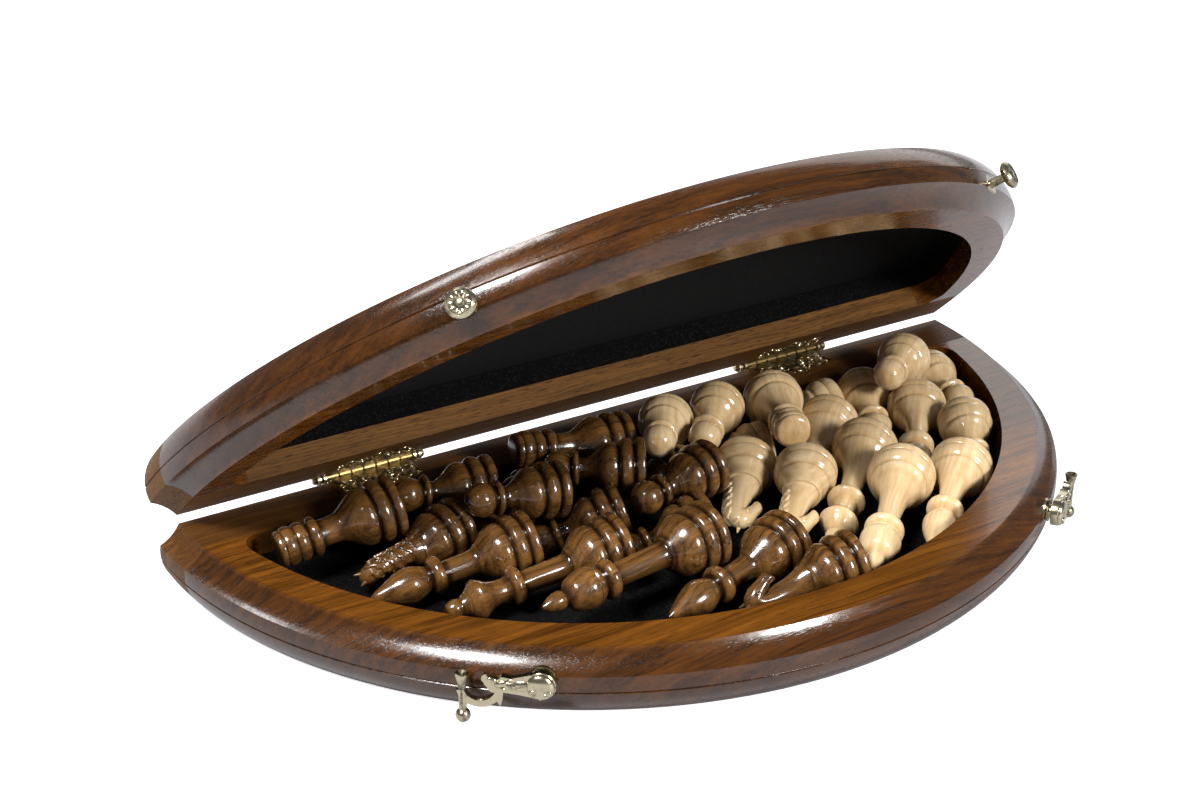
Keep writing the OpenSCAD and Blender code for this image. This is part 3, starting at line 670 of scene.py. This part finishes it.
neck_rings = [  # forward, height, half depth, half width, tilt
    (0.0, 23.5, 8.2, 8.2, 0), (-0.2, 26.5, 7.8, 6.8, 0), (-1.0, 30, 7.0, 5.8, 2), (-1.6, 33.5, 6.5, 5.2, 4),
    (-2.0, 37, 6.2, 5.0, 6), (-2.2, 40.5, 6.0, 5.0, 12), (-2.1, 44, 5.9, 5.0, 24), (-1.4, 47, 5.8, 4.9, 40),
    (-0.2, 49.4, 5.6, 4.7, 62), (1.6, 50.2, 5.0, 4.5, 88), (3.6, 48.8, 4.4, 4.1, 108),
    (5.2, 46.6, 3.7, 3.5, 120), (6.6, 44.2, 3.1, 3.0, 126), (7.6, 42.2, 3.1, 2.9, 130),
    (8.4, 40.6, 2.6, 2.6, 132)]
lip = 0.9
head = knight_head("knight_head")
bpy.ops.object.mode_set(mode="EDIT")
bpy.ops.mesh.select_all(action="SELECT")
bpy.ops.mesh.subdivide(number_cuts=2, smoothness=1.0)
bpy.ops.object.mode_set(mode="OBJECT")
print("roughed out:", len(head.data.polygons), "faces")

# %% [markdown]
# The mane is cut in slanting locks down the back of the neck. Where the height and the turn round the neck
# together run through a full lock, the first part of it is raised and the rest stays as the groove.


# %% Raise the mane
def mane_lock(face):
    place = face.center / mm
    round_back = math.degrees(math.atan2(place.y, -(place.x + neck_back)))
    through_lock = (place.z / lock_height + round_back / lock_turn) % 1
    return (mane_low < place.z < mane_high and abs(round_back) < mane_half_turn and place.x < mane_front
            and through_lock < lock_share)


neck_back, mane_low, mane_high, mane_half_turn, mane_front = 1.6, 27.5, 52.5, 68, 0.3
lock_height, lock_turn, lock_share, lock_rim, lock_rise = 5.2, 60, 0.66, 0.3, 0.9
pick(head)
bpy.ops.object.mode_set(mode="EDIT")
bpy.ops.mesh.select_mode(type="FACE")
bpy.ops.mesh.select_all(action="DESELECT")
bpy.ops.object.mode_set(mode="OBJECT")
for face in head.data.polygons:
    face.select = mane_lock(face)
print("mane faces:", sum(face.select for face in head.data.polygons))
bpy.ops.object.mode_set(mode="EDIT")
bpy.ops.mesh.inset(thickness=lock_rim * mm, use_individual=False)
bpy.ops.mesh.extrude_region_shrink_fatten(TRANSFORM_OT_shrink_fatten={"value": lock_rise * mm})
bpy.ops.object.mode_set(mode="OBJECT")
rounded = head.modifiers.new("rounded", "SUBSURF")
rounded.levels = 1
bpy.ops.object.modifier_apply(modifier=rounded.name)

# %% [markdown]
# Ears and eyes are small closed shapes that sink into the head: a cone for each ear, and a ball with a ring
# round it for each eye. The finished head then joins the foot that was turned for it, once for each set.

# %% Add the ears and eyes, and join the head to its foot
ear_height, ear_root, ear_tip, ear_crease = 5, 1.5, 0.35, math.radians(50)
eyeball, eyelid, eyelid_bar = 0.95, 1.35, 0.35
parts = []
for side in (-1, 1):
    bpy.ops.mesh.primitive_cone_add(vertices=12, radius1=ear_root * mm, radius2=ear_tip * mm,
                                    depth=ear_height * mm, location=(-0.4 * mm, side * 2.3 * mm, 54.6 * mm),
                                    rotation=(math.radians(-side * 14), math.radians(-12), 0))
    parts.append(bpy.context.object)
    bpy.ops.mesh.primitive_uv_sphere_add(segments=16, ring_count=10, radius=eyeball * mm,
                                         location=(3.9 * mm, side * 3.75 * mm, 49.6 * mm))
    parts.append(bpy.context.object)
    bpy.ops.mesh.primitive_torus_add(major_segments=20, minor_segments=8, major_radius=eyelid * mm,
                                     minor_radius=eyelid_bar * mm, rotation=(math.radians(90), 0, 0),
                                     location=(3.9 * mm, side * 3.85 * mm, 49.6 * mm))
    parts.append(bpy.context.object)
joined("knight_head", head, *parts)
bpy.ops.object.shade_smooth_by_angle(angle=ear_crease)
for patterns in (dark_patterns, light_patterns):
    foot = patterns["knight"]
    joined(foot.name, foot, copied(head, "knight_head_copy"))
bpy.data.objects.remove(head)
print("knights:", len(foot.data.polygons), "faces")

# %% [markdown]
# ## The wood of the men
# Each man's wood runs along his own length, so the pattern keeps every point's own place as an attribute
# before it is copied, and the wood reads that instead of the place in the box. A second attribute says how
# deep each point lies between the swellings beside it, and there the wood is darkened with painted shade.


# %% Note each point's own place
def note_own_place(piece, carved_above=math.inf):
    own = piece.data.attributes.new("own_place", "FLOAT_VECTOR", "POINT")
    for point, vertex in zip(own.data, piece.data.vertices):
        point.vector = Vector((vertex.co.z, vertex.co.x, vertex.co.y)) * fineness
    girth = {}
    for vertex in piece.data.vertices:
        level = round(vertex.co.z / mm)
        girth[level] = max(girth.get(level, 0), Vector(vertex.co.xy).length / mm)
    # Painted shade: the deeper a point lies, the darker; the carved knight's head gets one even amount.
    painted_shade = piece.data.attributes.new("painted_shade", "FLOAT", "POINT")
    for point, vertex in zip(painted_shade.data, piece.data.vertices):
        height = vertex.co.z / mm
        near = [radius for level, radius in girth.items() if abs(level - height) < beside]
        depth = sum(near) / len(near) - Vector(vertex.co.xy).length / mm
        shade = min(max(depth / full_depth + faintest, 0), darkest)
        point.value = shade if height < carved_above else carved_shade


fineness, beside, full_depth = 1.5, 3.2, 1.1
faintest, darkest, carved_shade, carved_from = 0.12, 0.92, 0.25, 24.5
for patterns in (dark_patterns, light_patterns):
    for kind, piece in patterns.items():
        note_own_place(piece, carved_from if kind == "knight" else math.inf)
print("places noted")

# %% [markdown]
# The dark men are stained and thickly lacquered, with deep painted shade in their hollows; the light men are
# only waxed, and their painted shade is faint.

# %% Mix the men's finishes
dark_men_finish = wood("dark men, lacquered", (0.018, 0.007, 0.002), (0.25, 0.113, 0.030), pores=0.7,
                       coat=0.7, coat_roughness=0.04, bump=0.1, own_place=True, shade_tint=(0.13, 0.10, 0.08))
light_men_finish = wood("light men, waxed", (0.53, 0.355, 0.175), (0.74, 0.56, 0.335), bands=0.7, pores=0.0,
                        coat=0.5, coat_roughness=0.1, bump=0.05, own_place=True, shade_tint=(0.88, 0.80, 0.66))
print("men's finishes mixed")

# %% [markdown]
# ## Laying the men in the well
# Each row says where one man lies: the middle of his foot measured from the middle of the spine, how far
# his foot is lifted off the velvet, which way his head points, how far it dips, and his roll.

# %% List where the men lie
velvet_top = 6.5
dark_men = [
    ("rook", -129, -44, 11.5, 177, 8, 0), ("knight", -105, -60, 1, 189, 7, -35),
    ("bishop", -85, -88, 1, 177, 6, 0), ("queen", -54, -114, 1, 179, 5, 0),
    ("king", -21, -135, 7, 187, 2, 0), ("bishop", 13, -147, 1, 194, 5, 0),
    ("rook", -9, -44, 11, 174, -8, 0), ("pawn", -81, -44, 10.5, 173, -4, 0),
    ("pawn", -60, -72, 14.5, 177, -6, 0), ("pawn", -17, -75, 15.5, 152, 0, 0),
    ("pawn", -38, -90, 6.5, 165, 17, 0), ("pawn", 11, -88, 14, 190, 4, 0),
    ("pawn", -6, -113, 4, 171, 14, 0), ("pawn", -60, -46, 1.1, 208, 8, 0),
    ("pawn", 14, -65, 1.2, 180, 9, 0), ("knight", 26, -179, 2, 174, 9, -160)]
light_men = [
    ("pawn", 20, -36, 14.6, -128, -10, 0), ("pawn", 50, -37, 15.5, -134, -1, 0),
    ("rook", 78, -40, 11.5, -114, -8, 0), ("knight", 42, -72, 1, -128, 7, 95),
    ("rook", 104, -57, 1, -140, 7, 0), ("pawn", 136, -37, 3, -115, 6, 0),
    ("pawn", 163, -41, 14.5, -142, -10, 0), ("pawn", 180, -35, 0, -103, -2, 0),
    ("bishop", 151, -65, 0.5, -129, 3, 0), ("pawn", 156, -94, 5, -120, 8, 0),
    ("queen", 100, -91, 1.5, -138, 6, 0), ("knight", 58, -99, 5, -132, 8, 95),
    ("king", 94, -126, 3.5, -137, 2, 0), ("bishop", 127, -130, 2, -140, 5, 0),
    ("pawn", 119, -43, 1.5, 170, 10, 0), ("pawn", 61, -65, 1, 165, 7, 0)]
print("men to lay:", len(dark_men) + len(light_men))

# %% [markdown]
# A man is a copy of his pattern, rolled about his own length, laid down, turned to his heading and moved
# into the well. The wood's own place is shifted a step further for each, so no two show the same figure.


# %% Lay the men
def lay(pattern, kind, name, x, y, lift, heading, dip, roll, shift):
    turn = (Matrix.Rotation(math.radians(heading), 4, "Z") @ Matrix.Rotation(math.radians(90 + dip), 4, "Y")
            @ Matrix.Rotation(math.radians(roll), 4, "Z"))
    place = Vector((x, spine_y + y, velvet_top + foot_radius[kind] + lift)) * mm
    man = settled(copied(pattern, name), Matrix.Translation(place) @ turn)
    for point in man.data.attributes["own_place"].data:
        point.vector += shift
    return man


def node_of(shade, kind, x):
    if shade == "dark" and kind == "knight":
        return "dark_rear_knight" if x < 0 else "dark_front_knight"
    return f"{shade}_{kind}" + ("" if kind in ("queen", "king") else "s")


figure_step = Vector((0.31, 0.17, 0.05))
men = []
for shade, rows, patterns, finish in (("dark", dark_men, dark_patterns, dark_men_finish),
                                      ("light", light_men, light_patterns, light_men_finish)):
    for count, (kind, x, y, *rest) in enumerate(rows, 1):
        man = lay(patterns[kind], kind, f"{shade}_{kind}_{count}", x, y, *rest, count * figure_step)
        man.data.materials.clear()
        man.data.materials.append(finish)
        node = node_of(shade, kind, x)
        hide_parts(node)
        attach(man, "front_men" if node in ("dark_queen", "dark_front_knight") else "men")
        men.append(man)
for piece in (*dark_patterns.values(), *light_patterns.values()):
    bpy.data.objects.remove(piece)
print("men laid:", len(men))

# %% [markdown]
# ## Pieces for both halves
# What is made for the lower half is laid in the lid by the same swing. A mirrored piece is inside out, so
# its faces are turned right way out again. A piece that stands for a node takes its finish and its body, and
# the node is hidden.

# %% Set a piece in the lid and hand it over
def set_in_lid(piece):
    return outward(settled(piece, to_lid))


def hand_over(piece, body, slot, finish, *nodes):
    piece.data.materials.clear()
    piece.data.materials.append(finish)
    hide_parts(*nodes)
    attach(piece, body)


def taken_from(node, name):
    """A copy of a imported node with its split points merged, ready to be worked on."""
    piece = copied(cad[node], name)
    piece.matrix_world = Matrix.Identity(4)
    bpy.ops.object.mode_set(mode="EDIT")
    bpy.ops.mesh.select_mode(type="VERT")
    bpy.ops.mesh.select_all(action="SELECT")
    bpy.ops.mesh.remove_doubles(threshold=split_within)
    bpy.ops.object.mode_set(mode="OBJECT")
    return piece


split_within = 0.002 * mm
print("a piece in the lid stands at", to_lid.translation)

# %% [markdown]
# ## The velvet linings
# The cloth is glued over the floor and a little way up the wall. It turns the corner softly, and its pile
# rounds the cut edge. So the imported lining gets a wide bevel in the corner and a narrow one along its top.

# %% Line the lower well
def select_edges(piece, low, high):
    """Selects the edges that lie wholly between two heights."""
    for edge in piece.data.edges:
        ends = [piece.data.vertices[point].co.z / mm for point in edge.vertices]
        edge.select = low < min(ends) and max(ends) < high


lining_top, fold, cut_edge, hair, lining_crease = 17, 2.2, 0.36, 0.05, math.radians(50)
lining = taken_from("base_velvet", "base_lining")
bpy.ops.object.mode_set(mode="EDIT")
bpy.ops.mesh.dissolve_limited(angle_limit=math.radians(1))
bpy.ops.mesh.select_mode(type="EDGE")
for low, high, radius, segments in ((velvet_top - hair, velvet_top + hair, fold, 5),
                                    (lining_top - hair, math.inf, cut_edge, 3)):
    bpy.ops.mesh.select_all(action="DESELECT")
    bpy.ops.object.mode_set(mode="OBJECT")
    select_edges(lining, low, high)
    bpy.ops.object.mode_set(mode="EDIT")
    bpy.ops.mesh.bevel(offset=radius * mm, segments=segments, clamp_overlap=False)
bpy.ops.object.mode_set(mode="OBJECT")
bpy.ops.object.shade_smooth_by_angle(angle=lining_crease)
lid_lining = set_in_lid(copied(lining, "lid_lining"))
bpy.ops.object.shade_smooth_by_angle(angle=lining_crease)
hand_over(lining, "base", "velvet", velvet, "base_velvet")
hand_over(lid_lining, "lid", "velvet", velvet, "lid_velvet")
print("lining:", len(lining.data.polygons), "faces")

# %% [markdown]
# ## The hinge leaves
# Each leaf is cast with scrolls standing on a sunk ground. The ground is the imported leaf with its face
# lowered; the scrolls, beads and palmette are rings and drops modelled once and laid on all four leaves.

# %% Model one leaf's relief
def ring(x, y, radius, bar, flat=1.0):
    bpy.ops.mesh.primitive_torus_add(major_segments=28, minor_segments=8, major_radius=radius * mm,
                                     minor_radius=bar * mm, location=(x * mm, y * mm, -bar * mm))
    bpy.ops.transform.resize(value=(1, flat, 1), center_override=(x * mm, y * mm, 0))
    return bpy.context.object


def drop(x, y, length, width, height, heading, z=0.0):
    bpy.ops.mesh.primitive_uv_sphere_add(segments=12, ring_count=8, radius=mm,
                                         location=(x * mm, y * mm, (z - height) * mm))
    piece = bpy.context.object
    piece.scale = (length, width, height)
    piece.rotation_euler.z = math.radians(heading)
    return piece


def gathered(name, pieces):
    whole = joined(name, *pieces)
    bpy.ops.object.transform_apply(location=True, rotation=True, scale=True)
    bpy.ops.object.shade_smooth()
    return whole


def around(reach, angle):
    return reach * math.cos(math.radians(angle)), reach * math.sin(math.radians(angle))


scrolls = [  # along, back, radius, bar, flattening
    (13.5, -10, 2.3, 0.4, 1), (6.6, -5.2, 2.6, 0.5, 0.8), (6.6, -5.2, 1.1, 0.45, 1),
    (12.6, -4.4, 1.5, 0.4, 1), (18, -5.6, 1.3, 0.4, 1), (7.8, -11.4, 1.4, 0.4, 1),
    (18.2, -11.6, 1.2, 0.4, 0.8)]
leaflets = [  # along, back, heading
    (2.2, -4.6, 60), (4.4, -9.2, 140), (10, -8, 30), (15.6, -6.6, 120), (9.8, -2, 0), (16, -2.2, 10),
    (4, -1.6, 170), (5, -13.4, 35), (10.6, -13, 150), (16.2, -13.6, 20)]
palmette_beads, palmette_step, palmette_reach, palmette_back = 9, 21, 7.4, 8.7
relief = [ring(0, -12, 2.3, 0.4)]
for side in (-1, 1):
    relief += [ring(side * along, back, radius, bar, flat) for along, back, radius, bar, flat in scrolls]
    relief += [drop(side * along, back, length=1.7, width=0.6, height=0.5, heading=side * heading)
               for along, back, heading in leaflets]
for count in range(palmette_beads):
    x, y = around(palmette_reach, -90 + (count - (palmette_beads - 1) / 2) * palmette_step)
    relief.append(drop(x, y - palmette_back, length=0.75, width=0.75, height=0.55, heading=0))
leaf_relief = gathered("leaf_relief", relief)
print("relief:", len(leaf_relief.data.polygons), "faces")

# %% [markdown]
# A leaf's face is all that lies level with the seam, in front of the spine. It sinks by about half a
# millimetre, and the top of the relief stays where the face was, so the leaf grows no thicker.


# %% Sink the ground and lay the relief
def sunk_leaf(node, name, half):
    """A packed leaf whose face is lowered; half turns the lower half's frame into the leaf's."""
    leaf = taken_from(node, name)
    back = half.inverted()
    bpy.ops.object.mode_set(mode="EDIT")
    bpy.ops.mesh.select_all(action="DESELECT")
    bpy.ops.object.mode_set(mode="OBJECT")
    for vertex in leaf.data.vertices:
        place = back @ vertex.co / mm
        vertex.select = place.z > half_height - hair and place.y < spine_y - hair
    bpy.ops.object.mode_set(mode="EDIT")
    bpy.ops.transform.translate(value=half.to_3x3() @ Vector((0, 0, -sunk * mm)))
    bpy.ops.object.mode_set(mode="OBJECT")
    bpy.ops.object.shade_smooth_by_angle(angle=math.radians(35))
    return leaf


sunk = 0.55
hinge_x = {"left": -120, "right": 116}
for side, x in hinge_x.items():
    base_leaf = sunk_leaf(f"{side}_hinge_base_leaf", f"{side}_base_leaf", Matrix.Identity(4))
    lid_leaf = sunk_leaf(f"{side}_hinge_lid_leaf", f"{side}_lid_leaf", to_lid)
    base_relief = settled(copied(leaf_relief, f"{side}_base_relief"),
                          Matrix.Translation(Vector((x, spine_y, half_height)) * mm))
    lid_relief = set_in_lid(copied(base_relief, f"{side}_lid_relief"))
    for body, leaf, relief in (("base", base_leaf, base_relief), ("lid", lid_leaf, lid_relief)):
        hand_over(leaf, body, "antique_brass", brass_hollow, f"{side}_hinge_{body}_leaf")
        hand_over(relief, body, "antique_brass", brass_rubbed, f"{side}_hinge_{body}_leaf")
bpy.data.objects.remove(leaf_relief)
print("leaves cast:", 2 * len(hinge_x))

# %% [markdown]
# The two leaves take turns round the pin, and a dark line of shadow shows wherever one knuckle ends and the
# next begins. The imported barrel is plain, so thin black discs of painted shadow stand a tenth of a
# millimetre proud of it there.

# %% Paint shadow into the gaps between the knuckles
knuckles, barrel_length, barrel_radius = 7, 44, 2
gap, gap_proud = 0.8, 0.1
for side, x in hinge_x.items():
    gaps = []
    for count in range(1, knuckles):
        along = x - barrel_length / 2 + count * barrel_length / knuckles
        bpy.ops.mesh.primitive_cylinder_add(vertices=32, radius=(barrel_radius + gap_proud) * mm,
                                            depth=gap * mm, rotation=(0, math.radians(90), 0),
                                            location=(along * mm, hinge_axis.y, hinge_axis.z))
        gaps.append(bpy.context.object)
    gaps = gathered(f"{side}_knuckle_gaps", gaps)
    gaps.data.materials.append(gap_shadow_black)
    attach(gaps, "base")
    print(gaps.name, len(gaps.data.polygons), "faces")

# %% [markdown]
# ## Hooks and studs
# The hook is cast with softened edges. A smooth dome with a few petals covers its eye, and leaves flow
# along its arm; the stud's head is a small rosette.

# %% Model the rosettes and the leaf of the arm
def rosette(name, radius, petals, button):
    """A flower seen along +Z, its top at z = 0."""
    pieces = [drop(0, 0, button, button, button * 0.55, 0)]
    for count in range(petals):
        angle = 360 * count / petals
        pieces.append(drop(*around(radius * 0.62, angle), length=radius * 0.33, width=radius * 0.2,
                           height=0.7, heading=angle, z=-0.25))
    return gathered(name, pieces)


def domed_eye(name, radius, rise, petals=5, spread=36):
    """A dome seen along +Z with petals fanned over its lower side."""
    pieces = [drop(0, 0, radius, radius, rise, 0, z=0.9)]
    for count in range(petals):
        angle = spread * (count - (petals - 1) / 2)
        pieces.append(drop(*around(radius * 0.58, angle), length=1.7, width=0.7, height=0.6,
                           heading=angle, z=0.85))
    return gathered(name, pieces)


arm_drops = [  # x, y, length, width, height, heading, z
    (0, 7.2, 2.7, 5.2, 1.7, -4, 0.5), (0.2, 11.6, 2.0, 4.2, 1.5, 6, 0.5),
    (-0.7, 15.6, 1.6, 3.2, 1.3, -14, 0.4), (-2.2, 19.4, 1.2, 2.4, 1.0, 16, 0),
    (1.6, 15.2, 0.7, 1.7, 0.7, 30, 0), (-2.4, 12.4, 0.6, 1.7, 0.6, -24, 0)]
eye_flower = domed_eye("eye_flower", radius=5.9, rise=2.4)
stud_flower = rosette("stud_flower", radius=6.0, petals=10, button=1.7)
arm_leaf = gathered("arm_leaf", [drop(*row) for row in arm_drops])
print("eye flower:", len(eye_flower.data.polygons), "faces")

# %% [markdown]
# A cast hook or stud has no sharp edge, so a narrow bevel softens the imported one. A latch lies on a line
# from the middle of the spine, and each flower is laid along it, facing out. A stud's flower is first laid
# on the lower half as the hook's is, and the lid's swing carries it up.


# %% Cast the hooks and studs
def latch_frame(side, out, up):
    return (Matrix.Translation((0, spine_y * mm, 0))
            @ Matrix.Rotation(math.radians(side * latch_angle - 90), 4, "Z")
            @ Matrix.Translation((out * mm, 0, up * mm)) @ Matrix.Rotation(math.radians(90), 4, "Y"))


def softened(node, name, width):
    piece = taken_from(node, name)
    bevel = piece.modifiers.new("softened edges", "BEVEL")
    bevel.width = width * mm
    bevel.segments = 3
    bevel.limit_method = "ANGLE"
    bevel.angle_limit = math.radians(35)
    bpy.ops.object.modifier_apply(modifier=bevel.name)
    bpy.ops.object.shade_smooth_by_angle(angle=math.radians(45))
    return piece


latch_angle, hook_up, stud_up = 36, 19, 18
eye_out, arm_out, stud_out = 233.4, 232.3, 236.4
for side, name in ((-1, "left"), (1, "right")):
    hook = softened(f"{name}_hook", f"{name}_cast_hook", width=0.4)
    flower = settled(copied(eye_flower, f"{name}_eye_flower"), latch_frame(side, eye_out, hook_up))
    leaf_frame = latch_frame(side, arm_out, hook_up) @ Matrix.Scale(side, 4, (0, 1, 0))
    leaf = outward(settled(copied(arm_leaf, f"{name}_arm_leaf"), leaf_frame))
    for piece in (hook, flower, leaf):
        hand_over(piece, f"{name}_hook", "polished_brass", brass_pale, f"{name}_hook")
    stud = softened(f"{name}_stud", f"{name}_cast_stud", width=0.35)
    flower = settled(copied(stud_flower, f"{name}_stud_flower"), latch_frame(side, stud_out, stud_up))
    for piece in (stud, set_in_lid(flower)):
        hand_over(piece, "lid", "polished_brass", brass_pale, f"{name}_stud")
for piece in (eye_flower, stud_flower, arm_leaf):
    bpy.data.objects.remove(piece)
